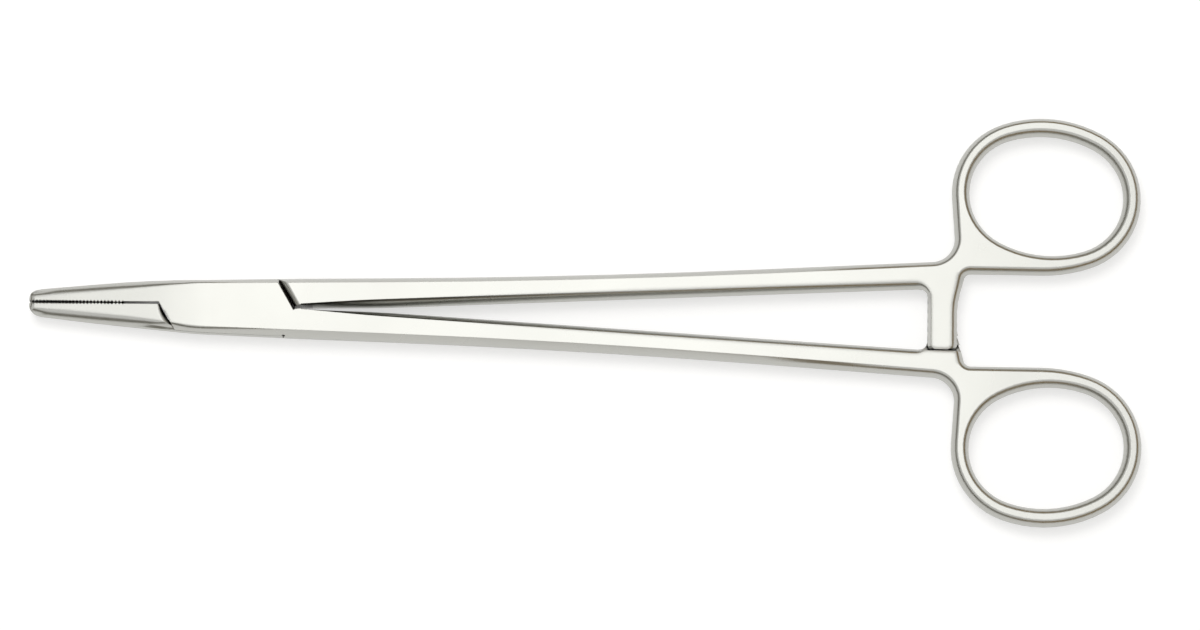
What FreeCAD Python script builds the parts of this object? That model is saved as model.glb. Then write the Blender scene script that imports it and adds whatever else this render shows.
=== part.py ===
import FreeCAD, Part
import math
import os
import Sketcher
from FreeCAD import Placement, Rotation, Vector

# Surgical needle holder, 200 mm long, lying closed on its side. Two forged halves
# cross in a box lock: the tongue of one passes through a mortise in the other, and
# a riveted pin holds both. Millimetres, +X towards the finger rings, +Z up. The
# origin is the pin's axis on the underside of the box lock. Sections are written
# about the middle plane, and the finished pieces are lifted by half the thickness.

doc = FreeCAD.newDocument("NeedleHolder")
sheet = doc.addObject("Spreadsheet::Sheet", "Sizes")


class Size:
    """A number together with the formula that binds it to the sheet."""

    def __init__(self, value, text):
        self.value = float(value)
        self.text = text

    def joined(self, sign, other, value):
        right = other.text if isinstance(other, Size) else repr(float(other))
        return Size(value, "(" + self.text + " " + sign + " " + right + ")")

    def __add__(self, other):
        return self.joined("+", other, self.value + number(other))

    def __sub__(self, other):
        return self.joined("-", other, self.value - number(other))

    def __mul__(self, other):
        return self.joined("*", other, self.value * number(other))

    def __truediv__(self, other):
        return self.joined("/", other, self.value / number(other))

    __radd__ = __add__
    __rmul__ = __mul__

    def __neg__(self):
        return self * -1


def number(item):
    """The plain number of a size or of a number."""
    return item.value if isinstance(item, Size) else float(item)


def size(alias, value):
    """Writes one driving dimension in the sheet and returns it."""
    cell = "B" + str(len(sheet.getUsedCells()) // 2 + 1)
    sheet.set(cell.replace("B", "A"), alias)
    sheet.set(cell, repr(value))
    sheet.setAlias(cell, alias)
    return Size(value, "Sizes." + alias)


# Thickness and the barrel form of the forged sides
box_half_thickness = size("box_half_thickness", 2.9)
ring_half_thickness = size("ring_half_thickness", 2.0)
side_bulge = size("side_bulge", 1.15)

# Jaws: stations from the tip to the box, as half widths of the flat and half thickness
tip_x = size("tip_x", -36.0)
tip_flat = size("tip_flat", 1.05)
tip_bulge = size("tip_bulge", 1.31)
tip_half_thickness = size("tip_half_thickness", 1.5)
tip_round = size("tip_round", 1.9)
nose_length = size("nose_length", 1.0)
nose_drop = size("nose_drop", 0.6)
front_x = size("front_x", -31.0)
front_flat = size("front_flat", 1.38)
front_bulge = size("front_bulge", 1.48)
front_half_thickness = size("front_half_thickness", 1.71)
middle_x = size("middle_x", -22.0)
middle_flat = size("middle_flat", 2.16)
middle_bulge = size("middle_bulge", 1.62)
middle_half_thickness = size("middle_half_thickness", 2.1)
shoulder_x = size("shoulder_x", -14.0)
shoulder_flat = size("shoulder_flat", 2.95)
shoulder_bulge = size("shoulder_bulge", 1.5)
shoulder_half_thickness = size("shoulder_half_thickness", 2.52)
blend_x = size("blend_x", -8.5)
blend_flat = size("blend_flat", 3.62)
blend_bulge = size("blend_bulge", 1.17)
blend_half_thickness = size("blend_half_thickness", 2.79)
box_front_x = size("box_front_x", -4.0)
box_front_flat = size("box_front_flat", 3.93)
box_front_bulge = size("box_front_bulge", 1.02)
bite_offset = size("bite_offset", 0.25)
bite_gap = size("bite_gap", 0.1)
bite_relief = size("bite_relief", 0.21)
relief_ramp = size("relief_ramp", 0.7)
serration_length = size("serration_length", 16.5)
serration_pitch = size("serration_pitch", 0.63)
serration_depth = size("serration_depth", 0.3)
serration_lean = size("serration_lean", 64.7)
serration_rows = size("serration_rows", 29)

# Box lock: the seams where the shoulders of the other half stop at the cheeks
rear_seam_reach = size("rear_seam_reach", 10.11)
front_seam_reach = size("front_seam_reach", 10.55)
seam_angle = size("seam_angle", 30.5)
seam_gap = size("seam_gap", 0.08)
groove_depth = size("groove_depth", 1.15)
groove_cheek_width = size("groove_cheek_width", 0.42)
groove_shoulder_width = size("groove_shoulder_width", 1.05)
scoop_width = size("scoop_width", 1.3)
scoop_radius = size("scoop_radius", 6.5)
scoop_along = size("scoop_along", 3.95)
mortise_margin = size("mortise_margin", 0.7)
tongue_thickness = size("tongue_thickness", 2.1)
tongue_end_gap = size("tongue_end_gap", 0.15)
tongue_face_gap = size("tongue_face_gap", 0.05)
crotch_drop = size("crotch_drop", 0.5)
crotch_rise = size("crotch_rise", 0.1)
crotch_step = size("crotch_step", 0.1)
pit_radius = size("pit_radius", 0.3)
pit_depth = size("pit_depth", 1.2)
pit_height = size("pit_height", 1.25)
pin_radius = size("pin_radius", 1.5)
pin_head_radius = size("pin_head_radius", 1.75)
pin_head_height = size("pin_head_height", 0.6)
pin_clearance = size("pin_clearance", 0.04)

# Shank: the straight runs of both edges and the bends between them
root_x = size("root_x", 13.0)
root_outer = size("root_outer", 4.33)
root_inner = size("root_inner", 0.46)
root_inner_bulge = size("root_inner_bulge", 0.2)
outer_bend_x = size("outer_bend_x", 62.0)
outer_bend_y = size("outer_bend_y", 5.45)
outer_bend_radius = size("outer_bend_radius", 1800.0)
inner_bend_x = size("inner_bend_x", 24.0)
inner_bend_y = size("inner_bend_y", 1.37)
inner_bend_radius = size("inner_bend_radius", 300.0)
inner_run_slope = size("inner_run_slope", 0.0527)
full_bulge_x = size("full_bulge_x", 27.0)

# Finger ring: an oval of four arcs, turned a little towards the other ring
ring_x = size("ring_x", 147.0)
ring_y = size("ring_y", 23.0)
ring_half_length = size("ring_half_length", 15.95)
ring_half_width = size("ring_half_width", 13.15)
ring_end_radius = size("ring_end_radius", 12.4)
ring_tilt = size("ring_tilt", 5.0)
ring_flat_end = size("ring_flat_end", 0.86)
ring_flat_side = size("ring_flat_side", 1.03)
hole_bulge = size("hole_bulge", 1.18)

# Web between shank, ring and ratchet bar
neck_x = size("neck_x", 131.9)
neck_y = size("neck_y", 9.68)
neck_radius = size("neck_radius", 5.4)
web_edge_y = size("web_edge_y", 9.55)
web_arc_radius = size("web_arc_radius", 26.0)
fork_x = size("fork_x", 131.25)
fork_radius = size("fork_radius", 2.4)

# Ratchet bars
bar_right_x = size("bar_right_x", 129.85)
bar_left_x = size("bar_left_x", 126.1)
bar_left_bulge = size("bar_left_bulge", 0.45)
bar_flare_y = size("bar_flare_y", 2.6)
bar_flare_radius = size("bar_flare_radius", 15.0)
bar_reach = size("bar_reach", 5.7)
bar_corner_radius = size("bar_corner_radius", 0.9)
bar_fillet_radius = size("bar_fillet_radius", 2.9)
bar_end_gap = size("bar_end_gap", 0.25)
bar_face_gap = size("bar_face_gap", 0.16)
tooth_pitch = size("tooth_pitch", 1.7)
tooth_depth = size("tooth_depth", 0.7)
tooth_count = size("tooth_count", 6)
tooth_start_y = size("tooth_start_y", -4.0)
doc.recompute()

SQUARE = Rotation(0, 0, 0)
nothing = Size(0, "0")
one = Size(1, "1")


def origin_plane(body, role):
    """One of the three planes through a body's own origin."""
    return next(item for item in body.Origin.OriginFeatures if item.Role == role)


def origin_axis(body, role):
    """One of the three axes through a body's own origin."""
    return next(item for item in body.Origin.OriginFeatures if item.Role == role)


def new_sketch(body, name, role, height=None, turn=SQUARE, along=None, rise=None):
    """A sketch on a body's origin plane, moved along its normal and turned."""
    sketch = body.newObject("Sketcher::SketchObject", name)
    sketch.AttachmentSupport = [(origin_plane(body, role), "")]
    sketch.MapMode = "FlatFace"
    place = Vector(number(along or 0), number(rise or 0), number(height or 0))
    sketch.AttachmentOffset = Placement(place, turn)
    if height is not None:
        sketch.setExpression("AttachmentOffset.Base.z", (height * 1).text)
    if along is not None:
        sketch.setExpression("AttachmentOffset.Base.x", (along * 1).text)
    if rise is not None:
        sketch.setExpression("AttachmentOffset.Base.y", (rise * 1).text)
    return sketch


def bind(sketch, kind, refs, value):
    """Adds a constraint whose value follows the sheet."""
    index = sketch.addConstraint(Sketcher.Constraint(kind, *refs, number(value)))
    if isinstance(value, Size):
        sketch.setExpression("Constraints[" + str(index) + "]", value.text)


def bind_point(sketch, item, end, x, y):
    """Fixes one point of a sketch by its two coordinates."""
    bind(sketch, "DistanceX", (item, end), x)
    bind(sketch, "DistanceY", (item, end), y)


def polygon(sketch, corners):
    """A closed run of straight lines through bound corners."""
    spots = [Vector(number(x), number(y), 0) for x, y in corners]
    lines = len(spots)
    for index in range(lines):
        sketch.addGeometry(Part.LineSegment(spots[index], spots[(index + 1) % lines]))
    for index in range(lines):
        sketch.addConstraint(Sketcher.Constraint("Coincident", index, 2, (index + 1) % lines, 1))
    for index, (x, y) in enumerate(corners):
        bind_point(sketch, index, 1, x, y)


def side_levels():
    """Height share and bulge share of the levels between underside and top."""
    third = one / 3
    rows = []
    for name, level in (("Bottom", -one), ("Low", -third * 2), ("Lower", -third), ("Middle", nothing),
                        ("Upper", third), ("High", third * 2), ("Top", one)):
        rows.append((name, level, one - level * level))
    return rows


def barrel_section(body, name, x, flat, bulge, half, centre):
    """A cross-section with flat top and bottom and evenly bulging sides."""
    sketch = new_sketch(body, name, "YZ_Plane", height=x)
    right = [(centre + flat + bulge * share, half * level) for _, level, share in side_levels()]
    left = [(centre - flat - bulge * share, half * level) for _, level, share in reversed(side_levels())]
    polygon(sketch, right + left)
    return sketch


def loft(body, name, sections, kind="PartDesign::AdditiveLoft"):
    """A solid or a cut through several sketches of the same body."""
    feature = body.newObject(kind, name)
    feature.Profile = sections[0]
    feature.Sections = sections[1:]
    return feature


def boolean(kind, name, base, tool):
    """The cut, common part or union of two solids of the document."""
    feature = doc.addObject(kind, name)
    feature.Base = base
    feature.Tool = tool
    return feature


def mirrored(name, source, normal):
    """A mirror image through the origin."""
    feature = doc.addObject("Part::Mirroring", name)
    feature.Source = source
    feature.Normal = normal
    return feature


def trig(function, angle):
    """The sine or cosine of an angle in degrees, tied to its size."""
    value = getattr(math, function)(math.radians(angle.value))
    return Size(value, function + "(" + angle.text + ")")


def square_root(item):
    """The square root of a size."""
    return Size(math.sqrt(item.value), "sqrt(" + item.text + ")")


def box_plan(x_low, y_low, x_high, y_high):
    """The four corners of an upright rectangle."""
    return ((x_low, y_low), (x_high, y_low), (x_high, y_high), (x_low, y_high))


def raised(body, name, sketch, low, high):
    """A pad from a sketch that stands at its lower end."""
    pad = body.newObject("PartDesign::Pad", name)
    pad.Profile = sketch
    pad.Length = number(high - low)
    pad.setExpression("Length", (high - low).text)
    return pad


def prism(name, corners, low, high, role="XY_Plane"):
    """A body with one prism on a polygon, between two heights along the normal."""
    body = doc.addObject("PartDesign::Body", name)
    sketch = new_sketch(body, name + "Plan", role, height=low)
    polygon(sketch, corners)
    raised(body, name + "Pad", sketch, low, high)
    return body


def slanted_prism(name, corners, low, high):
    """A body with one prism along the direction of the seams, between two distances."""
    body = doc.addObject("PartDesign::Body", name)
    sketch = new_sketch(body, name + "Profile", "XZ_Plane", height=low * seam_cos,
                        turn=Rotation(Vector(0, 1, 0), seam_angle.value), along=low * seam_sin)
    sketch.setExpression("AttachmentOffset.Rotation.Angle", seam_angle.text)
    polygon(sketch, corners)
    raised(body, name + "Pad", sketch, low, high)
    return body


def cylinder(name, radius, low, high):
    """An upright cylinder about the pivot."""
    item = doc.addObject("Part::Cylinder", name)
    item.Radius = number(radius)
    item.setExpression("Radius", (radius * 1).text)
    item.Height = number(high - low)
    item.setExpression("Height", (high - low).text)
    item.Placement = Placement(Vector(0, 0, number(low)), SQUARE)
    item.setExpression("Placement.Base.z", (low * 1).text)
    return item


def cone(name, low_radius, high_radius, x, y, low, high, hand):
    """An upright cone that widens away from the middle plane, above or below it."""
    item = doc.addObject("Part::Cone", name)
    item.Radius1 = number(low_radius)
    item.setExpression("Radius1", low_radius.text)
    item.Radius2 = number(high_radius)
    item.setExpression("Radius2", high_radius.text)
    item.Height = number(high - low)
    item.setExpression("Height", (high - low).text)
    turn = Rotation() if hand > 0 else Rotation(Vector(1, 0, 0), 180)
    item.Placement = Placement(Vector(number(x), number(y), number(low) * hand), turn)
    item.setExpression("Placement.Base.x", x.text)
    item.setExpression("Placement.Base.y", y.text)
    item.setExpression("Placement.Base.z", (low * hand).text)
    return item


def fused(name, items):
    """The union of several solids."""
    feature = doc.addObject("Part::MultiFuse", name)
    feature.Shapes = items
    return feature


# Front envelope: both jaws and the box lock, ground to one surface
envelope = doc.addObject("PartDesign::Body", "Envelope")
clear = box_half_thickness * 4
jaw_stations = (
    (tip_x, tip_flat, tip_bulge, tip_half_thickness, bite_offset),
    (front_x, front_flat, front_bulge, front_half_thickness, bite_offset),
    (middle_x, middle_flat, middle_bulge, middle_half_thickness, bite_offset),
    (shoulder_x, shoulder_flat, shoulder_bulge, shoulder_half_thickness, bite_offset * 0.8),
    (blend_x, blend_flat, blend_bulge, blend_half_thickness, bite_offset * 0.3),
    (box_front_x, box_front_flat, box_front_bulge, box_half_thickness, nothing),
)
sections = []
for index, station in enumerate(jaw_stations):
    sections.append(barrel_section(envelope, "JawSection" + str(index), *station))
loft(envelope, "Jaws", sections)
box_sections = [
    barrel_section(envelope, "BoxFront", box_front_x, box_front_flat, box_front_bulge,
                   box_half_thickness, nothing),
    barrel_section(envelope, "BoxRear", root_x, root_outer, side_bulge,
                   box_half_thickness, nothing),
]
loft(envelope, "Box", box_sections)
doc.recompute()

# The blunt end of the jaws, rounded at both upright corners and broken above and below
tip_half = tip_flat + tip_bulge
corner_cuts = []
for name, hand in (("Near", -1), ("Far", 1)):
    inner_y = bite_offset + (tip_half - tip_round) * hand
    outer_y = bite_offset + (tip_half + tip_round) * hand
    block = prism("TipCorner" + name, box_plan(tip_x - tip_round, inner_y, tip_x + tip_round, outer_y),
                  -clear, clear)
    rounding = cylinder("TipRounding" + name, tip_round, -clear, clear)
    rounding.Placement = Placement(Vector(number(tip_x + tip_round), inner_y.value, -clear.value), SQUARE)
    rounding.setExpression("Placement.Base.x", (tip_x + tip_round).text)
    rounding.setExpression("Placement.Base.y", inner_y.text)
    corner_cuts.append(boolean("Part::Cut", "TipCornerCut" + name, block, rounding))
nose_end = tip_half_thickness + (front_half_thickness - tip_half_thickness) * nose_length / (front_x - tip_x)
for name, hand in (("Top", 1), ("Under", -1)):
    corner_cuts.append(prism("TipNose" + name, (
        (tip_x - nose_length, (tip_half_thickness - nose_drop * 3) * hand),
        (tip_x, (tip_half_thickness - nose_drop) * hand),
        (tip_x + nose_length * 0.35, (tip_half_thickness - nose_drop * 0.25) * hand),
        (tip_x + nose_length, nose_end * hand), (tip_x + nose_length, clear * hand),
        (tip_x - nose_length, clear * hand)), -clear, clear, "XZ_Plane"))
front = boolean("Part::Cut", "Front", envelope, fused("TipCuts", corner_cuts))

# Rear of one half: shank, web, ring and ratchet bar, drawn at three levels
shank = doc.addObject("PartDesign::Body", "Shank")
taper = (box_half_thickness - ring_half_thickness) / (ring_x + ring_half_length - root_x)
taper_angle = Size(math.degrees(math.atan(taper.value)), "atan(" + taper.text + ")")


def level_sketch(body, name, level):
    """A plan sketch at the bottom, in the middle or at the top of the tapered rear."""
    angle = taper_angle * level
    height = box_half_thickness * level
    turn = Rotation(Vector(0, 1, 0), angle.value)
    sketch = new_sketch(body, name, "XY_Plane", height=height, turn=turn, along=root_x)
    if number(level):
        sketch.setExpression("AttachmentOffset.Rotation.Angle", angle.text)
    return sketch


def offset_corner(x, y, grow_x, grow_y, growth):
    """A corner from the root, moved outwards with the bulge of the sides."""
    return x - root_x + growth * grow_x, y + growth * grow_y


def tangent_from(point, centre, radius, side):
    """Where a line from a point touches a circle, on one side."""
    dx, dy = centre[0] - point[0], centre[1] - point[1]
    reach = math.hypot(dx, dy)
    angle = math.atan2(dy, dx) + side * math.asin(radius / reach)
    length = math.sqrt(reach * reach - radius * radius)
    return point[0] + length * math.cos(angle), point[1] + length * math.sin(angle)


def rounded(before, corner, after, radius):
    """Start, end and centre of the fillet arc in a corner."""
    ax, ay = before[0] - corner[0], before[1] - corner[1]
    bx, by = after[0] - corner[0], after[1] - corner[1]
    la, lb = math.hypot(ax, ay), math.hypot(bx, by)
    ax, ay, bx, by = ax / la, ay / la, bx / lb, by / lb
    half = math.acos(ax * bx + ay * by) / 2
    reach = radius / math.tan(half)
    start = (corner[0] + ax * reach, corner[1] + ay * reach)
    end = (corner[0] + bx * reach, corner[1] + by * reach)
    mx, my = ax + bx, ay + by
    lm = math.hypot(mx, my)
    far = radius / math.sin(half)
    return start, end, (corner[0] + mx / lm * far, corner[1] + my / lm * far)


def arc_through(start, end, centre, turn):
    """An arc about a centre; turn is 1 anticlockwise and -1 clockwise."""
    radius = math.hypot(start[0] - centre[0], start[1] - centre[1])
    first = math.atan2(start[1] - centre[1], start[0] - centre[0])
    last = math.atan2(end[1] - centre[1], end[0] - centre[0])
    circle = Part.Circle(Vector(centre[0], centre[1], 0), Vector(0, 0, 1), radius)
    if turn > 0:
        return Part.ArcOfCircle(circle, first, last if last > first else last + 2 * math.pi)
    return Part.ArcOfCircle(circle, last, first if first > last else first + 2 * math.pi)


def oval_centres(half_length, end_radius):
    """Centres of the two end arcs of the ring's oval, left and right."""
    reach = half_length - end_radius
    shift_x = reach * trig("cos", ring_tilt)
    shift_y = reach * trig("sin", ring_tilt)
    middle = ring_x - root_x
    return (middle - shift_x, ring_y + shift_y), (middle + shift_x, ring_y - shift_y)


def flank_radius(half_length, half_width, end_radius):
    """Radius of the long arcs of an oval with given half axes and end arcs."""
    reach = half_length - end_radius
    return (reach * reach + half_width * half_width - end_radius * end_radius) / (
        (half_width - end_radius) * 2)


def outline(sketch, growth, root_growth, bend):
    """The rear outline of the upper half, moved outwards by the growth of the level."""
    run = [offset_corner(root_x, root_outer, 0, 1, growth)]
    run.append(offset_corner(outer_bend_x, outer_bend_y, 0, 1, growth))
    run.append(offset_corner(neck_x, neck_y, -1, 1, growth))
    left_end, right_end = oval_centres(ring_half_length, ring_end_radius)
    end_radius = ring_end_radius + growth
    flank = flank_radius(ring_half_length, ring_half_width, ring_end_radius) + growth
    sweep = web_arc_radius + growth
    web_y = web_edge_y - growth
    fork = offset_corner(fork_x, web_edge_y, 1, -1, growth)
    inner_y = inner_bend_y + inner_run_slope * (bar_left_x - inner_bend_x)
    left_share = bar_left_bulge / side_bulge
    left_growth = growth * left_share
    inner_y_grown = inner_y - growth - left_growth * inner_run_slope
    back = [fork, offset_corner(bar_right_x, bar_flare_y, 1, 0, growth)]
    back.append(offset_corner(bar_right_x, -bar_reach, 1, 0, growth))
    back.append(offset_corner(bar_left_x, -bar_reach, -1, 0, left_growth))
    back.append((bar_left_x - root_x - left_growth, inner_y_grown))
    back.append(offset_corner(bend[0], bend[1], 0, 0, growth))
    back.append((nothing, root_inner - root_growth))
    plain = [(number(x), number(y)) for x, y in run]
    plain_back = [(number(x), number(y)) for x, y in back]
    centre_left = (number(left_end[0]), number(left_end[1]))
    centre_right = (number(right_end[0]), number(right_end[1]))
    radius = number(end_radius)
    touch = tangent_from(plain[2], centre_left, radius, 1)
    along = math.radians(-ring_tilt.value)
    across = (-math.sin(along), math.cos(along))
    drop = number(flank) - (ring_half_width.value + number(growth))
    centre_top = (ring_x.value - root_x.value - across[0] * drop, ring_y.value - across[1] * drop)

    def outward(centre, other, reach):
        dx, dy = centre[0] - other[0], centre[1] - other[1]
        length = math.hypot(dx, dy)
        return centre[0] + dx / length * reach, centre[1] + dy / length * reach

    top_left = outward(centre_left, centre_top, radius)
    top_right = outward(centre_right, centre_top, radius)
    floor = number(web_y) + number(sweep)
    gap = number(sweep) - radius
    sweep_x = centre_right[0] - math.sqrt(gap ** 2 - (floor - centre_right[1]) ** 2)
    centre_sweep = (sweep_x, floor)
    low_right = outward(centre_right, centre_sweep, radius)
    landing = (sweep_x, number(web_y))

    points = plain + [touch]
    fillet_one = rounded(points[0], points[1], points[2], outer_bend_radius.value)
    neck = neck_radius - growth
    fillet_two = rounded(points[1], points[2], touch, number(neck))
    radii = [fork_radius - growth, bar_flare_radius - growth, bar_corner_radius + growth * 0.3,
             bar_corner_radius + growth * 0.3, bar_fillet_radius - growth, inner_bend_radius + 0]
    corners = [landing] + plain_back
    fillets = []
    for index, item in enumerate(radii):
        fillets.append(rounded(corners[index], corners[index + 1], corners[index + 2], number(item)))

    order = []

    def line(start, end):
        order.append(("line", sketch.addGeometry(Part.LineSegment(Vector(*start, 0), Vector(*end, 0)))))

    def arc(start, end, centre, turn, kind):
        item = sketch.addGeometry(arc_through(start, end, centre, turn))
        order.append((kind, item, turn))

    def turning(before, corner, after):
        cross = (corner[0] - before[0]) * (after[1] - corner[1])
        cross -= (corner[1] - before[1]) * (after[0] - corner[0])
        return 1 if cross > 0 else -1

    line(points[0], fillet_one[0])
    arc(*fillet_one, turning(points[0], points[1], points[2]), "fillet")
    line(fillet_one[1], fillet_two[0])
    arc(*fillet_two, turning(points[1], points[2], touch), "fillet")
    line(fillet_two[1], touch)
    arc(touch, top_left, centre_left, -1, "ring")
    arc(top_left, top_right, centre_top, -1, "ring")
    arc(top_right, low_right, centre_right, -1, "ring")
    arc(low_right, landing, centre_sweep, -1, "ring")
    start = landing
    for index, fillet in enumerate(fillets):
        line(start, fillet[0])
        arc(*fillet, turning(corners[index], corners[index + 1], corners[index + 2]), "fillet")
        start = fillet[1]
    line(start, corners[-1])
    line(corners[-1], points[0])

    def ends(entry):
        """First and last point numbers of an element in the direction of travel."""
        if entry[0] == "line" or entry[2] > 0:
            return 1, 2
        return 2, 1

    count = len(order)
    for index, entry in enumerate(order):
        following = order[(index + 1) % count]
        last_point = ends(entry)[1]
        first_point = ends(following)[0]
        kind = "Tangent" if index < count - 2 else "Coincident"
        sketch.addConstraint(Sketcher.Constraint(kind, entry[1], last_point, following[1], first_point))

    def corner_point(position, before, after, radius_size, arc_item):
        item = sketch.addGeometry(Part.Point(Vector(number(position[0]), number(position[1]), 0)), True)
        bind_point(sketch, item, 1, *position)
        sketch.addConstraint(Sketcher.Constraint("PointOnObject", item, 1, before))
        sketch.addConstraint(Sketcher.Constraint("PointOnObject", item, 1, after))
        bind(sketch, "Radius", (arc_item,), radius_size)

    item = [entry[1] for entry in order]
    bind_point(sketch, item[0], 1, *run[0])
    corner_point(run[1], item[0], item[2], outer_bend_radius, item[1])
    corner_point(run[2], item[2], item[4], neck, item[3])
    bind_point(sketch, item[5], 3, *left_end)
    bind(sketch, "Radius", (item[5],), end_radius)
    bind(sketch, "Radius", (item[6],), flank)
    bind_point(sketch, item[7], 3, *right_end)
    bind(sketch, "Radius", (item[7],), end_radius)
    bind(sketch, "Radius", (item[8],), sweep)
    sketch.addConstraint(Sketcher.Constraint("Horizontal", item[9]))
    for index, radius_size in enumerate(radii):
        first = item[9 + 2 * index]
        corner_point(back[index], first, item[11 + 2 * index], radius_size, item[10 + 2 * index])
    bind_point(sketch, item[count - 2], 2, *back[-1])


outlines = []
full_bend_y = inner_bend_y + inner_run_slope * (full_bulge_x - inner_bend_x)
for name, level, share in side_levels():
    sketch = level_sketch(shank, "Outline" + name, level)
    growth = side_bulge * share
    bend_x = inner_bend_x + (full_bulge_x - inner_bend_x) * share
    bend_y = inner_bend_y + (full_bend_y - inner_bend_y) * share - growth
    outline(sketch, growth, root_inner_bulge * share, (bend_x, bend_y))
    outlines.append(sketch)
loft(shank, "Rear", outlines).Ruled = True


def ring_hole(sketch, shrink):
    """An oval of four arcs about the ring's centre, smaller by the shrink all round."""
    half_length = ring_half_length - ring_flat_end - shrink
    half_width = ring_half_width - ring_flat_side - shrink
    end_radius = ring_end_radius - ring_flat_side - shrink
    left_end, right_end = oval_centres(half_length, end_radius)
    flank = flank_radius(half_length, half_width, end_radius)
    radius = number(end_radius)
    centre_left = (number(left_end[0]), number(left_end[1]))
    centre_right = (number(right_end[0]), number(right_end[1]))
    along = math.radians(-ring_tilt.value)
    drop = number(flank) - number(half_width)
    middles = []
    for side in (1, -1):
        middles.append((ring_x.value - root_x.value + side * math.sin(along) * drop,
                        ring_y.value - side * math.cos(along) * drop))

    def touch(centre, other):
        dx, dy = centre[0] - other[0], centre[1] - other[1]
        length = math.hypot(dx, dy)
        return centre[0] + dx / length * radius, centre[1] + dy / length * radius

    top_left, top_right = touch(centre_left, middles[0]), touch(centre_right, middles[0])
    low_left, low_right = touch(centre_left, middles[1]), touch(centre_right, middles[1])
    sketch.addGeometry(arc_through(top_left, low_left, centre_left, 1))
    sketch.addGeometry(arc_through(low_left, low_right, middles[1], 1))
    sketch.addGeometry(arc_through(low_right, top_right, centre_right, 1))
    sketch.addGeometry(arc_through(top_right, top_left, middles[0], 1))
    for index in range(4):
        sketch.addConstraint(Sketcher.Constraint("Tangent", index, 2, (index + 1) % 4, 1))
    bind_point(sketch, 0, 3, *left_end)
    bind_point(sketch, 2, 3, *right_end)
    bind(sketch, "Radius", (0,), end_radius)
    bind(sketch, "Radius", (2,), end_radius)
    bind(sketch, "Radius", (1,), flank)
    bind(sketch, "Radius", (3,), flank)


holes = []
for name, level, share in side_levels():
    sketch = level_sketch(shank, "Hole" + name, level)
    ring_hole(sketch, hole_bulge * share)
    holes.append(sketch)
loft(shank, "RingHole", holes, "PartDesign::SubtractiveLoft").Ruled = True
doc.recompute()

# Lines of the seams, written along and across the direction of the box lock's walls
seam_cos = trig("cos", seam_angle)
seam_sin = trig("sin", seam_angle)
rear_shoulder = rear_seam_reach + seam_gap
front_shoulder = front_seam_reach + seam_gap
mortise_radius = front_seam_reach + mortise_margin
tongue_radius = mortise_radius - tongue_end_gap
bite_upper = bite_offset + bite_gap / 2
bite_lower = bite_offset - bite_gap / 2
relief_upper = bite_offset + bite_relief
relief_lower = bite_offset - bite_relief
serration_end = tip_x + serration_length
relief_start = serration_end + relief_ramp
beyond = tip_x - clear


def on_seam(reach, y):
    """The X of a seam line at a given Y; reach is negative on the jaw side."""
    return (reach - y * seam_sin) / seam_cos


def foot(reach):
    """The point of a seam line nearest to the pivot."""
    return reach * seam_cos, reach * seam_sin


# Female half: what is cut from the two envelopes
side = clear
lower_jaw_space = prism("LowerJawSpace", (
    (beyond, bite_upper), (serration_end, bite_upper), (relief_start, relief_upper),
    (on_seam(-front_seam_reach, relief_upper), relief_upper),
    (on_seam(-front_seam_reach, -side), -side), (beyond, -side)), -clear, clear)
upper_shank_space = prism("UpperShankSpace", (
    (on_seam(rear_seam_reach, side), side), (on_seam(rear_seam_reach, -crotch_drop), -crotch_drop),
    (root_x, -(root_inner - crotch_step)), (root_x + crotch_step, -(root_inner_bulge)),
    (root_x + crotch_step, side)), -clear, clear)
half_slot = tongue_thickness / 2 + tongue_face_gap
mortise = cylinder("Mortise", mortise_radius, -half_slot, half_slot)
groove_floor = box_half_thickness - groove_depth
over = box_half_thickness + groove_depth
seam_end = on_seam(rear_seam_reach, -crotch_drop) * seam_sin + crotch_drop * seam_cos
cheek_slopes = []
for name, hand in (("Top", 1), ("Under", -1)):
    cheek_slopes.append(slanted_prism("CheekChamfer" + name, (
        (rear_seam_reach, groove_floor * hand), (rear_seam_reach, over * hand),
        (rear_seam_reach - groove_cheek_width * 2, over * hand),
        (rear_seam_reach - groove_cheek_width, box_half_thickness * hand)), -clear, seam_end))
pin_bore = cylinder("CheekBore", pin_radius, -clear, clear)
countersinks = []
for name, hand in (("Lower", -1), ("Upper", 1)):
    countersinks.append(cone("Countersink" + name, pin_radius, pin_head_radius, nothing, nothing,
                             box_half_thickness - pin_head_height, box_half_thickness, hand))
pit = doc.addObject("Part::Cylinder", "SlotPit")
pit.Radius = pit_radius.value
pit.setExpression("Radius", pit_radius.text)
pit.Height = clear.value
pit.setExpression("Height", clear.text)
pit_start = root_outer + side_bulge * 0.9 - pit_depth
pit_x = square_root(mortise_radius * mortise_radius - root_outer * root_outer * 1.5)
pit.Placement = Placement(Vector(pit_x.value, -pit_start.value, pit_height.value),
                          Rotation(Vector(1, 0, 0), 90))
pit.setExpression("Placement.Base.x", pit_x.text)
pit.setExpression("Placement.Base.y", (-pit_start).text)
pit.setExpression("Placement.Base.z", pit_height.text)

# The free ends of the ratchet bars: each keeps the half that faces away
shoulder_y = bar_reach + bar_end_gap
pocket_left = bar_left_x - side_bulge - bar_end_gap * 1.6
pocket_right = fork_x + side_bulge + fork_radius
half_gap = bar_face_gap / 2
upper_bar_pocket = prism("UpperBarPocket", box_plan(pocket_left, -clear, pocket_right, shoulder_y),
                         -clear, half_gap)
lower_bar_pocket = prism("LowerBarPocket", box_plan(pocket_left, -shoulder_y, pocket_right, clear),
                         -half_gap, clear)


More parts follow.
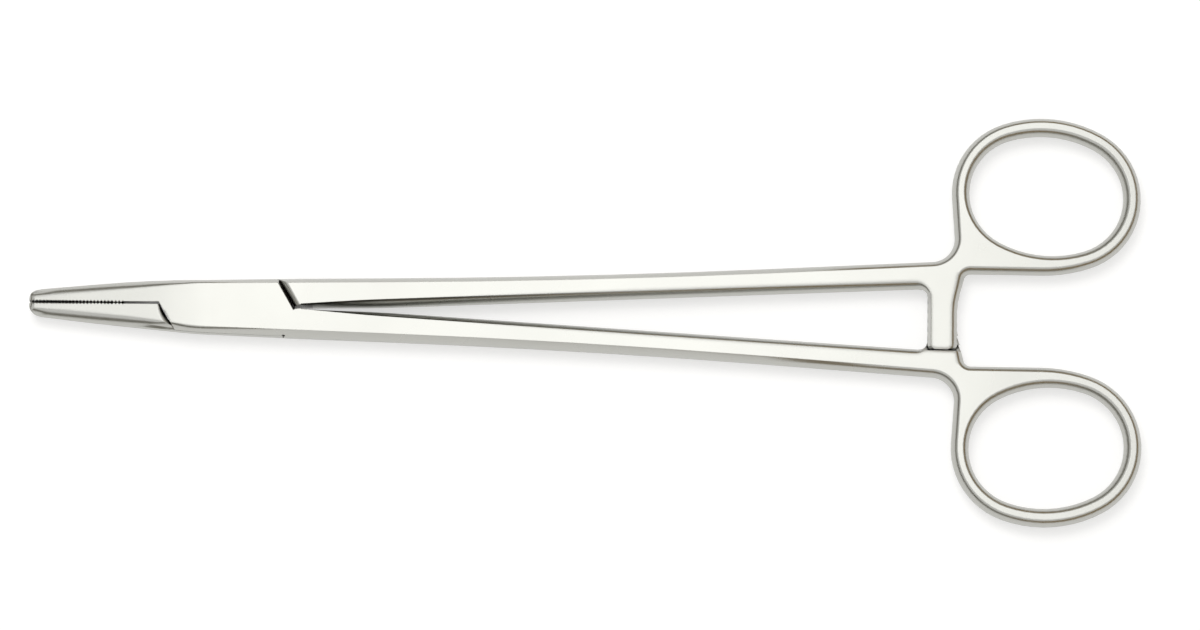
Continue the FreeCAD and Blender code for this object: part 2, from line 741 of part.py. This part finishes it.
def tooth_body(name, hand):
    """Saw-tooth grooves across the facing side of one ratchet bar."""
    body = doc.addObject("PartDesign::Body", name)
    sketch = new_sketch(body, name + "Profile", "YZ_Plane", height=pocket_left)
    near = tooth_start_y * hand
    far = (tooth_start_y + tooth_pitch * 0.92) * hand
    low = (half_gap - tooth_depth * 0.5) * hand
    high = (half_gap + tooth_depth) * hand
    polygon(sketch, ((near, low), (far, low), (far, half_gap * hand), (near, high)))
    pad = raised(body, name + "Groove", sketch, pocket_left, pocket_right)
    pattern = body.newObject("PartDesign::LinearPattern", name + "Row")
    pattern.Originals = [pad]
    pattern.Direction = (sketch, ["H_Axis"])
    pattern.Reversed = hand < 0
    pattern.Length = number(tooth_pitch * (tooth_count - 1))
    pattern.setExpression("Length", (tooth_pitch * (tooth_count - 1)).text)
    pattern.Occurrences = int(tooth_count.value)
    pattern.setExpression("Occurrences", tooth_count.text)
    body.Tip = pattern
    return body


upper_teeth = tooth_body("UpperTeeth", 1)
lower_teeth = tooth_body("LowerTeeth", -1)


def serrations(name, face_y, hand, way):
    """Leaning V grooves along one bite face."""
    body = doc.addObject("PartDesign::Body", name)
    reach = box_half_thickness * 1.2
    lean_cos = trig("cos", serration_lean)
    lean_sin = trig("sin", serration_lean)
    first = tip_x - reach * lean_cos - front_half_thickness
    lean = serration_lean * -way
    sketch = new_sketch(body, name + "Profile", "YZ_Plane", height=first,
                        turn=Rotation(Vector(1, 0, 0), lean.value), rise=reach * lean_sin * -way)
    sketch.setExpression("AttachmentOffset.Rotation.Angle", lean.text)
    half_width = serration_pitch * lean_sin * 0.94
    base_y = face_y - serration_depth * hand
    polygon(sketch, ((base_y, -half_width), (base_y, half_width), (face_y + serration_depth * hand, nothing)))
    groove = raised(body, name + "Groove", sketch, nothing, reach * 2)
    row = body.newObject("PartDesign::LinearPattern", name + "Row")
    row.Originals = [groove]
    row.Direction = (origin_axis(body, "X_Axis"), [""])
    row.Length = number(serration_pitch * (serration_rows - 1))
    row.setExpression("Length", (serration_pitch * (serration_rows - 1)).text)
    row.Occurrences = int(serration_rows.value)
    row.setExpression("Occurrences", serration_rows.text)
    body.Tip = row
    return body


upper_grooves = [serrations("UpperJawGroovesA", bite_upper, 1, 1), serrations("UpperJawGroovesB", bite_upper, 1, -1)]
lower_grooves = [serrations("LowerJawGroovesA", bite_lower, -1, 1), serrations("LowerJawGroovesB", bite_lower, -1, -1)]

# Male half: the tongue between the cheeks, and the room left for the female half
cheek_rooms = []
scoop_inset = scoop_radius - scoop_width - front_shoulder
scoop_x = scoop_inset * seam_cos - scoop_along * seam_sin
scoop_y = scoop_inset * seam_sin + scoop_along * seam_cos
outer = rear_shoulder + groove_shoulder_width * (over - groove_floor) / groove_depth
for name, hand in (("Lower", -1), ("Upper", 1)):
    cheek_rooms.append(slanted_prism("CheekRoom" + name, (
        (-front_shoulder, over * hand), (-front_shoulder, tongue_thickness / 2 * hand),
        (rear_shoulder, tongue_thickness / 2 * hand), (rear_shoulder, groove_floor * hand),
        (outer, over * hand)), -clear, clear))
    cheek_rooms.append(cone("ShoulderScoop" + name, scoop_radius - scoop_width, scoop_radius + scoop_width,
                            scoop_x, scoop_y, groove_floor, over, hand))
front_room = prism("UpperJawRoom", (
    (beyond, bite_lower), (serration_end, bite_lower), (relief_start, relief_lower),
    (on_seam(-front_shoulder, relief_lower), relief_lower), foot(-front_shoulder),
    (nothing, nothing), (nothing, side), (beyond, side)), -clear, clear)
rear_room = prism("LowerShankRoom", (
    (root_x, root_inner - crotch_step), (root_x + crotch_step, root_inner_bulge),
    (root_x + crotch_step, -side), (nothing, -side), (nothing, nothing), foot(rear_shoulder),
    (on_seam(rear_shoulder, crotch_rise), crotch_rise)), -clear, clear)
tongue_disc = cylinder("TongueDisc", tongue_radius, -clear, clear)
rooms = boolean("Part::Cut", "FemaleRooms", fused("BothRooms", [front_room, rear_room]), tongue_disc)
tongue_bore = cylinder("TongueBore", pin_radius + pin_clearance, -clear, clear)
doc.recompute()

male_body = boolean("Part::Cut", "MaleBody", fused("MaleBlank", [front, shank]),
                    fused("MaleCuts", [rooms, upper_bar_pocket, upper_teeth, tongue_bore] + cheek_rooms))
male_once_grooved = boolean("Part::Cut", "MaleOnceGrooved", male_body, lower_grooves[0])
male = boolean("Part::Cut", "MaleHalf", male_once_grooved, lower_grooves[1])
lower_rear = mirrored("LowerRear", shank, Vector(0, 1, 0))
female_body = boolean("Part::Cut", "FemaleBody", fused("FemaleBlank", [front, lower_rear]),
                      fused("FemaleCuts", [lower_jaw_space, upper_shank_space, mortise, pin_bore, pit,
                                           lower_bar_pocket, lower_teeth] + cheek_slopes + countersinks))
female_once_grooved = boolean("Part::Cut", "FemaleOnceGrooved", female_body, upper_grooves[0])
female = boolean("Part::Cut", "FemaleHalf", female_once_grooved, upper_grooves[1])

# Pivot pin: a plain shaft whose two ends are riveted into the countersinks
shaft = cylinder("PinShaft", pin_radius, -box_half_thickness, box_half_thickness)
pin = fused("PivotPin", [shaft] + countersinks)

parts = (("female_half", female), ("male_half", male), ("pivot_pin", pin))
for label, item in parts:
    item.Label = label
    item.Placement = Placement(Vector(0, 0, box_half_thickness.value), SQUARE)
    item.setExpression("Placement.Base.z", box_half_thickness.text)
doc.recompute()

for item in doc.Objects:
    if "Invalid" in item.State or "Error" in item.State:
        raise RuntimeError(item.Label + " did not build")
os.makedirs("parts", exist_ok=True)
for label, item in parts:
    if item.Shape.isNull() or not item.Shape.isValid():
        raise RuntimeError(label + " has no valid shape")
    print(label, round(item.Shape.Volume, 2), len(item.Shape.Solids), len(item.Shape.Faces))
    item.Shape.exportStep("parts/" + label + ".step")
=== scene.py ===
import math
import bmesh
import bpy
from mathutils import Matrix, Vector

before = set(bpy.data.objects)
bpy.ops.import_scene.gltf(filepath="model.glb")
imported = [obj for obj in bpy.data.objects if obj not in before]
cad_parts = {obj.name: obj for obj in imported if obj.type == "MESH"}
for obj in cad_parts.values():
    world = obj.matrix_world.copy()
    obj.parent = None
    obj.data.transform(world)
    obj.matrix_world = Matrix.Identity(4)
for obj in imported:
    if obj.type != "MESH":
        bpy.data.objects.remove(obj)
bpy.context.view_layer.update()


# The camera: it hangs over the near side of the instrument, tilted by 10 degrees, with
# a long lens that draws the sides of the steel as narrow bands.

MM = 0.001
picture_turn = math.radians(1.0)
camera_tilt = math.radians(10.0)
aim_point = Vector((66.69 * MM, -1.33 * MM, 2.9 * MM))
camera_reach = 840 * MM

camera_data = bpy.data.cameras.new("camera")
camera_data.sensor_width = 36
camera_data.lens = 140
camera_data.clip_start = 10 * MM
camera = bpy.data.objects.new("camera", camera_data)
bpy.context.scene.collection.objects.link(camera)
back_off = Vector((0, -math.sin(camera_tilt), math.cos(camera_tilt))) * camera_reach
turn = Matrix.Rotation(picture_turn, 4, "Z")
stand = Matrix.Translation(aim_point + back_off)
camera.matrix_world = turn @ stand @ Matrix.Rotation(camera_tilt, 4, "X")
bpy.context.scene.camera = camera
bpy.context.scene.view_settings.view_transform = "Standard"


# The sweep: a sheet of white studio paper on the table, with the instrument laid on it.
# It is matt, so it scatters evenly and keeps a light shadow. A glow that the camera and
# the polished metal see lifts it to the white of the background.

def linear(hex_colour):
    """An sRGB hex colour as linear red, green, blue and alpha."""
    channels = [int(hex_colour[i:i + 2], 16) / 255 for i in (1, 3, 5)]
    return [c / 12.92 if c < 0.04045 else ((c + 0.055) / 1.055) ** 2.4 for c in channels] + [1.0]


def add_node(tree, kind, inputs=(), **settings):
    """Adds a node, sets its properties or inputs by name, and links or fills its inputs."""
    node = tree.nodes.new(kind)
    for name, value in settings.items():
        if hasattr(node, name):
            setattr(node, name, value)
        else:
            node.inputs[name.replace("_", " ")].default_value = value
    for name, value in inputs:
        if isinstance(value, bpy.types.NodeSocket):
            tree.links.new(value, node.inputs[name])
        else:
            node.inputs[name].default_value = value
    return node


def shows_background(tree):
    """1 for what the camera, a reflection or glass sees, and 0 for light on the object."""
    ray = add_node(tree, "ShaderNodeLightPath")
    seen = add_node(tree, "ShaderNodeMath",
                    [(0, ray.outputs["Is Camera Ray"]), (1, ray.outputs["Is Glossy Ray"])],
                    operation="ADD", use_clamp=True)
    seen_all = add_node(tree, "ShaderNodeMath",
                        [(0, seen.outputs[0]), (1, ray.outputs["Is Transmission Ray"])],
                        operation="ADD", use_clamp=True)
    return seen_all.outputs[0]


sweep_half_width = 3.0
sweep_drop = 0.02 * MM
paper_glow = 0.57

floor_data = bpy.data.meshes.new("floor")
floor = bpy.data.objects.new("floor", floor_data)
bpy.context.scene.collection.objects.link(floor)
sheet = bmesh.new()
bmesh.ops.create_grid(sheet, x_segments=1, y_segments=1, size=sweep_half_width)
bmesh.ops.translate(sheet, verts=sheet.verts, vec=(0, 0, -sweep_drop))
sheet.to_mesh(floor_data)
sheet.free()

paper = bpy.data.materials.new("white_sweep_paper")
paper.use_nodes = True
tree = paper.node_tree
tree.nodes.clear()
lift = add_node(tree, "ShaderNodeMath", [(0, shows_background(tree)), (1, paper_glow)],
                operation="MULTIPLY")
matt = add_node(tree, "ShaderNodeBsdfDiffuse", Color=linear("#c9c8c6"))
glow = add_node(tree, "ShaderNodeEmission", [("Strength", lift.outputs[0])],
                Color=linear("#ffffff"))
both = add_node(tree, "ShaderNodeAddShader", [(0, matt.outputs[0]), (1, glow.outputs[0])])
add_node(tree, "ShaderNodeOutputMaterial", [("Surface", both.outputs[0])])
floor_data.materials.append(paper)


# The light: a white room at half strength, a soft box behind the far side and a window
# further back. The window's light falls on the paper alone, so that it turns the shadow
# towards the camera and puts no second glare on the steel.

def soft_light(name, place, target, size, radiance):
    """A square soft box aimed at a point; radiance 1 is the white of the background."""
    data = bpy.data.lights.new(name, "AREA")
    data.size = size
    data.energy = radiance * math.pi * size * size
    lamp = bpy.data.objects.new(name, data)
    bpy.context.scene.collection.objects.link(lamp)
    lamp.location = place
    lamp.rotation_euler = (Vector(target) - Vector(place)).to_track_quat("-Z", "Y").to_euler()
    return lamp


world = bpy.data.worlds.new("studio")
bpy.context.scene.world = world
world.use_nodes = True
tree = world.node_tree
tree.nodes.clear()
dim = add_node(tree, "ShaderNodeBackground", Color=linear("#ffffff"), Strength=0.5)
white = add_node(tree, "ShaderNodeBackground", Color=linear("#ffffff"), Strength=1.0)
either = add_node(tree, "ShaderNodeMixShader",
                  [(0, shows_background(tree)), (1, dim.outputs[0]), (2, white.outputs[0])])
add_node(tree, "ShaderNodeOutputWorld", [("Surface", either.outputs[0])])

soft_light("top_softbox", place=(0.03, 0.2, 0.85), target=(0.03, 0, 0), size=0.52, radiance=1.25)
far_window = soft_light("far_window", place=(-0.12, 0.38, 0.82), target=(0.06, 0, 0), size=0.5,
                        radiance=3.4)
far_window.visible_glossy = False


# The cloth: linen hung in a ring round the table, outside the picture, grey at the jaw
# end and brown at the ring end. It is matt, and only the polished metal sees it, as the
# thin dark lines where the edges of the steel round over.

ring_radius = 0.75
ring_height = 0.42
ring_middle_x = 0.06

cloth_data = bpy.data.meshes.new("linen")
cloth = bpy.data.objects.new("linen", cloth_data)
bpy.context.scene.collection.objects.link(cloth)
sheet = bmesh.new()
bmesh.ops.create_cone(sheet, cap_ends=False, segments=48, radius1=ring_radius,
                      radius2=ring_radius, depth=ring_height)
bmesh.ops.translate(sheet, verts=sheet.verts, vec=(ring_middle_x, 0, ring_height / 2))
sheet.to_mesh(cloth_data)
sheet.free()
for seen_by in ("camera", "diffuse", "transmission", "shadow", "volume_scatter"):
    setattr(cloth, "visible_" + seen_by, False)

linen = bpy.data.materials.new("linen")
linen.use_nodes = True
tree = linen.node_tree
tree.nodes.clear()
place = add_node(tree, "ShaderNodeTexCoord")
spot = add_node(tree, "ShaderNodeSeparateXYZ", [(0, place.outputs["Object"])])
along = add_node(tree, "ShaderNodeMapRange", [("Value", spot.outputs["X"])],
                 From_Min=-100 * MM, From_Max=200 * MM)
dye = add_node(tree, "ShaderNodeMix",
               [("Factor", along.outputs[0]), ("A", linear("#a9a69b")), ("B", linear("#bda67f"))],
               data_type="RGBA")
weave = add_node(tree, "ShaderNodeBsdfDiffuse", [("Color", dye.outputs["Result"])])
add_node(tree, "ShaderNodeOutputMaterial", [("Surface", weave.outputs[0])])
cloth_data.materials.append(linen)


# The two forged halves: martensitic stainless steel, drop forged, ground on the flats
# and satin finished all over. They stay the CAD nodes, with their facets welded and
# smoothed between the crisp ground edges.

weld_reach = 0.002 * MM
flat_from = 0.99
sharpest_smooth_angle = math.radians(62)

weld_and_smooth = bpy.data.node_groups.new("weld_and_smooth", "GeometryNodeTree")
for way in ("INPUT", "OUTPUT"):
    weld_and_smooth.interface.new_socket("Mesh", in_out=way, socket_type="NodeSocketGeometry")
tree = weld_and_smooth
source = add_node(tree, "NodeGroupInput")
welded = add_node(tree, "GeometryNodeMergeByDistance", [("Geometry", source.outputs[0])],
                  Distance=weld_reach)
rounded = add_node(tree, "GeometryNodeSetShadeSmooth", [("Geometry", welded.outputs[0])],
                   domain="FACE", Shade_Smooth=True)
shape_normal = add_node(tree, "GeometryNodeInputNormal")
face_normal = add_node(tree, "GeometryNodeFieldOnDomain",
                       [(0, shape_normal.outputs["True Normal"])],
                       data_type="FLOAT_VECTOR", domain="FACE")
face_parts = add_node(tree, "ShaderNodeSeparateXYZ", [(0, face_normal.outputs[0])])
upright = add_node(tree, "ShaderNodeMath", [(0, face_parts.outputs["Z"])], operation="ABSOLUTE")
is_flat = add_node(tree, "ShaderNodeMath", [(0, upright.outputs[0]), (1, flat_from)],
                   operation="GREATER_THAN")

# An edge has half a share of flat only where a flat meets a side. It is left sharp, and
# so is an edge steeper than the facets of a curve. Every other edge is smoothed.
flat_on_face = add_node(tree, "GeometryNodeFieldOnDomain", [(0, is_flat.outputs[0])],
                        data_type="FLOAT", domain="FACE")
flat_at_edge = add_node(tree, "GeometryNodeFieldOnDomain", [(0, flat_on_face.outputs[0])],
                        data_type="FLOAT", domain="EDGE")
off_rim = add_node(tree, "FunctionNodeCompare", [("A", flat_at_edge.outputs[0])],
                   data_type="FLOAT", operation="NOT_EQUAL", B=0.5, Epsilon=0.2)
angle = add_node(tree, "GeometryNodeInputMeshEdgeAngle")
gentle = add_node(tree, "FunctionNodeCompare", [("A", angle.outputs["Unsigned Angle"])],
                  data_type="FLOAT", operation="LESS_THAN", B=sharpest_smooth_angle)
smooth_edge = add_node(tree, "FunctionNodeBooleanMath",
                       [(0, off_rim.outputs[0]), (1, gentle.outputs[0])], operation="AND")
edged = add_node(tree, "GeometryNodeSetShadeSmooth",
                 [("Geometry", rounded.outputs[0]), ("Shade Smooth", smooth_edge.outputs[0])],
                 domain="EDGE")

# The narrow facets next to a flat start part of the way to the flat's own normal, so
# the edge rolls over as on a belt-ground part while the flat itself stays level. The
# outer edges of the shanks stay crisp.
least_agreement = 0.35
side_share = 0.45
shank_middle_x = 56 * MM
shank_half_length = 52 * MM

flat_only = add_node(tree, "ShaderNodeVectorMath",
                     [(0, face_normal.outputs[0]), ("Scale", is_flat.outputs[0])],
                     operation="SCALE")
at_face = add_node(tree, "GeometryNodeFieldOnDomain", [(0, flat_only.outputs[0])],
                   data_type="FLOAT_VECTOR", domain="FACE")
at_vertex = add_node(tree, "GeometryNodeFieldOnDomain", [(0, at_face.outputs[0])],
                     data_type="FLOAT_VECTOR", domain="POINT")
flat_normal = add_node(tree, "ShaderNodeVectorMath", [(0, at_vertex.outputs[0])],
                       operation="NORMALIZE")
agreement = add_node(tree, "ShaderNodeVectorMath",
                     [(0, flat_normal.outputs[0]), (1, face_normal.outputs[0])],
                     operation="DOT_PRODUCT")
beside_flat = add_node(tree, "FunctionNodeCompare", [("A", agreement.outputs["Value"])],
                       data_type="FLOAT", operation="GREATER_THAN", B=least_agreement)
position = add_node(tree, "GeometryNodeInputPosition")
spot = add_node(tree, "ShaderNodeSeparateXYZ", [(0, position.outputs[0])])
outward = add_node(tree, "ShaderNodeMath",
                   [(0, spot.outputs["Y"]), (1, face_parts.outputs["Y"])],
                   operation="MULTIPLY")
faces_out = add_node(tree, "ShaderNodeMath", [(0, outward.outputs[0]), (1, 0)],
                     operation="GREATER_THAN")
on_shank = add_node(tree, "ShaderNodeMath",
                    [(0, spot.outputs["X"]), (1, shank_middle_x), (2, shank_half_length)],
                    operation="COMPARE")
is_crisp = add_node(tree, "ShaderNodeMath", [(0, faces_out.outputs[0]), (1, on_shank.outputs[0])],
                    operation="MULTIPLY")
own_share = add_node(tree, "ShaderNodeMapRange", [("Value", is_crisp.outputs[0])],
                     To_Min=side_share, To_Max=1)
rolled_normal = add_node(tree, "ShaderNodeMix",
                         [("Factor", own_share.outputs[0]), (4, flat_normal.outputs[0]),
                          (5, shape_normal.outputs["Normal"])], data_type="VECTOR")
chosen = add_node(tree, "GeometryNodeSwitch",
                  [("Switch", beside_flat.outputs[0]), ("False", shape_normal.outputs["Normal"]),
                   ("True", rolled_normal.outputs[1])], input_type="VECTOR")
rolled = add_node(tree, "GeometryNodeSetMeshNormal",
                  [("Mesh", edged.outputs[0]), ("Custom Normal", chosen.outputs[0])],
                  mode="FREE", domain="CORNER")
add_node(tree, "NodeGroupOutput", [(0, rolled.outputs[0])])


def satin_steel(name, colour, roughness):
    """Stainless steel, ground and then satin blasted: bright, with soft reflections."""
    material = bpy.data.materials.new(name)
    material.use_nodes = True
    tree = material.node_tree
    tree.nodes.clear()
    place = add_node(tree, "ShaderNodeTexCoord").outputs["Object"]
    spot = add_node(tree, "ShaderNodeSeparateXYZ", [(0, place)])
    x, y, z = (spot.outputs[axis] for axis in "XYZ")
    facing = add_node(tree, "ShaderNodeNewGeometry").outputs["True Normal"]
    slope = add_node(tree, "ShaderNodeSeparateXYZ", [(0, facing)])
    level = add_node(tree, "ShaderNodeMath", [(0, slope.outputs["Z"])], operation="ABSOLUTE")
    on_flat = add_node(tree, "ShaderNodeMath", [(0, level.outputs[0]), (1, 0.97)],
                       operation="GREATER_THAN")
    on_side = add_node(tree, "ShaderNodeMath", [(0, level.outputs[0]), (1, 0.9)],
                       operation="LESS_THAN")

    # Hand finishing leaves clouds about 17 mm wide, so the gloss is slightly uneven. The
    # blast marks are about 0.05 mm wide, too fine to show, and are drawn three times as
    # wide, which takes the sharpness off the reflections.
    unevenness = 0.02
    clouds_per_metre = 60.0
    marks_per_metre = 6000.0
    mark_depth = 0.01 * MM
    clouds = add_node(tree, "ShaderNodeTexNoise", [("Vector", place)], Scale=clouds_per_metre,
                      Detail=3.0)
    gloss = add_node(tree, "ShaderNodeMapRange", [("Value", clouds.outputs[0])],
                     From_Min=0.3, From_Max=0.7,
                     To_Min=roughness - unevenness, To_Max=roughness + unevenness)
    grain = add_node(tree, "ShaderNodeTexNoise", [("Vector", place)], Scale=marks_per_metre,
                     Detail=2.0)

    # The belt rolls every edge by 0.15 mm. It rolls the flats more towards the rings on
    # the inner edges of the shanks, and along the jaws up to the tip. The rim of the pin
    # is ground flush and isn't rolled, so it doesn't show.
    least_roll = 0.15 * MM
    pin_zone = 2.6 * MM
    shank_rise = 0.0527
    shank_start = 1.5 * MM
    bite_zone = 1.0 * MM
    in_plan = add_node(tree, "ShaderNodeVectorMath", [(0, place), (1, (1, 1, 0))],
                       operation="MULTIPLY")
    from_pin = add_node(tree, "ShaderNodeVectorMath", [(0, in_plan.outputs[0])],
                        operation="LENGTH")
    past_pin = add_node(tree, "ShaderNodeMath", [(0, from_pin.outputs["Value"]), (1, pin_zone)],
                        operation="GREATER_THAN")
    off_axis = add_node(tree, "ShaderNodeMath", [(0, y)], operation="ABSOLUTE")
    shank_line = add_node(tree, "ShaderNodeMath", [(0, x), (1, shank_rise), (2, shank_start)],
                          operation="MULTIPLY_ADD")
    inner = add_node(tree, "ShaderNodeMath", [(0, off_axis.outputs[0]), (1, shank_line.outputs[0])],
                     operation="LESS_THAN")
    inner_roll = add_node(tree, "ShaderNodeMapRange", [("Value", x)], From_Min=30 * MM,
                          From_Max=75 * MM, To_Min=0, To_Max=0.8 * MM)
    shank_roll = add_node(tree, "ShaderNodeMath",
                          [(0, inner.outputs[0]), (1, inner_roll.outputs[0])],
                          operation="MULTIPLY")
    jaw_roll = add_node(tree, "ShaderNodeMapRange", [("Value", x)], From_Min=-4 * MM,
                        From_Max=-12 * MM, To_Min=0, To_Max=0.4 * MM)
    tip_roll = add_node(tree, "ShaderNodeMapRange", [("Value", x)], From_Min=-20 * MM,
                        From_Max=-28 * MM, To_Min=0, To_Max=0.3 * MM)
    jaw_and_tip = add_node(tree, "ShaderNodeMath",
                           [(0, jaw_roll.outputs[0]), (1, tip_roll.outputs[0])], operation="ADD")
    off_bite = add_node(tree, "ShaderNodeMath", [(0, off_axis.outputs[0]), (1, bite_zone)],
                        operation="GREATER_THAN")
    front_roll = add_node(tree, "ShaderNodeMath",
                          [(0, jaw_and_tip.outputs[0]), (1, off_bite.outputs[0])],
                          operation="MULTIPLY")
    flat_roll = add_node(tree, "ShaderNodeMath",
                         [(0, shank_roll.outputs[0]), (1, front_roll.outputs[0])], operation="ADD")
    roll = add_node(tree, "ShaderNodeMath",
                    [(0, flat_roll.outputs[0]), (1, on_flat.outputs[0]), (2, least_roll)],
                    operation="MULTIPLY_ADD")
    width = add_node(tree, "ShaderNodeMath", [(0, past_pin.outputs[0]), (1, roll.outputs[0])],
                     operation="MULTIPLY")
    edge = add_node(tree, "ShaderNodeBevel", [("Radius", width.outputs[0])], samples=4)
    relief = add_node(tree, "ShaderNodeBump",
                      [("Height", grain.outputs[0]), ("Normal", edge.outputs[0])],
                      Strength=0.15, Distance=mark_depth)

    # Painted shade: where ambient occlusion finds the seams, the serrations and the ratchet teeth,
    # the steel's colour is darkened, standing in for the shade in those recesses. The straight run
    # of the shanks is left out, and so is what lies close to the table.
    painted_shade_reach = 1.2 * MM
    unshaded_run_middle_x = 67 * MM
    unshaded_run_half_length = 52 * MM
    table_zone = 1.5 * MM
    nook = add_node(tree, "ShaderNodeAmbientOcclusion", samples=6, Distance=painted_shade_reach)
    unshaded_ao = add_node(tree, "ShaderNodeMapRange", [("Value", nook.outputs["AO"])], From_Min=0.3,
                     From_Max=0.65)
    on_run = add_node(tree, "ShaderNodeMath",
                      [(0, x), (1, unshaded_run_middle_x), (2, unshaded_run_half_length)], operation="COMPARE")
    near_table = add_node(tree, "ShaderNodeMath", [(0, z), (1, table_zone)],
                          operation="LESS_THAN")
    unshaded_near_table = add_node(tree, "ShaderNodeMath",
                          [(0, unshaded_ao.outputs[0]), (1, near_table.outputs[0])], operation="MAXIMUM")
    unshaded = add_node(tree, "ShaderNodeMath",
                     [(0, unshaded_near_table.outputs[0]), (1, on_run.outputs[0])], operation="MAXIMUM")

    # Painted dark reflection: behind the box lock the top strip of the shanks' inner sides is
    # painted dark, standing in for the shade and dark reflection between the shanks, and it fades
    # out towards the rings.
    box_end_x = 13 * MM
    top_strip = add_node(tree, "ShaderNodeMapRange", [("Value", z)], From_Min=5.1 * MM,
                         From_Max=5.4 * MM)
    fading = add_node(tree, "ShaderNodeMapRange", [("Value", x)], From_Min=40 * MM,
                      From_Max=85 * MM, To_Min=0.9, To_Max=0)
    inner_side = add_node(tree, "ShaderNodeMath", [(0, inner.outputs[0]), (1, on_side.outputs[0])],
                          operation="MULTIPLY")
    inner_strip = add_node(tree, "ShaderNodeMath",
                           [(0, inner_side.outputs[0]), (1, top_strip.outputs[0])],
                           operation="MULTIPLY")
    past_box = add_node(tree, "ShaderNodeMath", [(0, x), (1, box_end_x)],
                        operation="GREATER_THAN")
    crotch_strip = add_node(tree, "ShaderNodeMath",
                            [(0, inner_strip.outputs[0]), (1, past_box.outputs[0])],
                            operation="MULTIPLY")
    painted_dark_line = add_node(tree, "ShaderNodeMath",
                       [(0, crotch_strip.outputs[0]), (1, fading.outputs[0])],
                       operation="MULTIPLY")
    # The steel's colour here takes both painted marks: the painted shade in the recesses and the
    # painted dark line between the shanks.
    steel_colour_share = add_node(tree, "ShaderNodeMath",
                         [(0, unshaded.outputs[0]), (1, painted_dark_line.outputs[0])],
                         operation="SUBTRACT", use_clamp=True)
    shade = add_node(tree, "ShaderNodeMix",
                     [("Factor", steel_colour_share.outputs[0]), ("A", linear("#2e2a20")),
                      ("B", linear(colour))], data_type="RGBA")
    steel = add_node(tree, "ShaderNodeBsdfPrincipled",
                     [("Base Color", shade.outputs["Result"]), ("Roughness", gloss.outputs[0]),
                      ("Normal", relief.outputs[0])], Metallic=1.0)
    add_node(tree, "ShaderNodeOutputMaterial", [("Surface", steel.outputs[0])])
    return material


def finish_steel(node, material):
    """Gives a CAD node its steel and its smoothing."""
    node.data.materials.clear()
    node.data.materials.append(material)
    smoother = node.modifiers.new("weld_and_smooth", "NODES")
    smoother.node_group = weld_and_smooth


forged_steel = satin_steel("satin_forged_stainless", "#b8b8b3", 0.27)
for half in ("female_half", "male_half"):
    finish_steel(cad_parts[half], forged_steel)


# The pivot pin: a stainless rod, riveted over in both cheeks and ground flush with them.
# It has the colour and gloss of the halves, so its ends don't show on the cheeks.

pin_steel = satin_steel("ground_pin_stainless", "#b8b8b3", 0.27)
finish_steel(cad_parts["pivot_pin"], pin_steel)
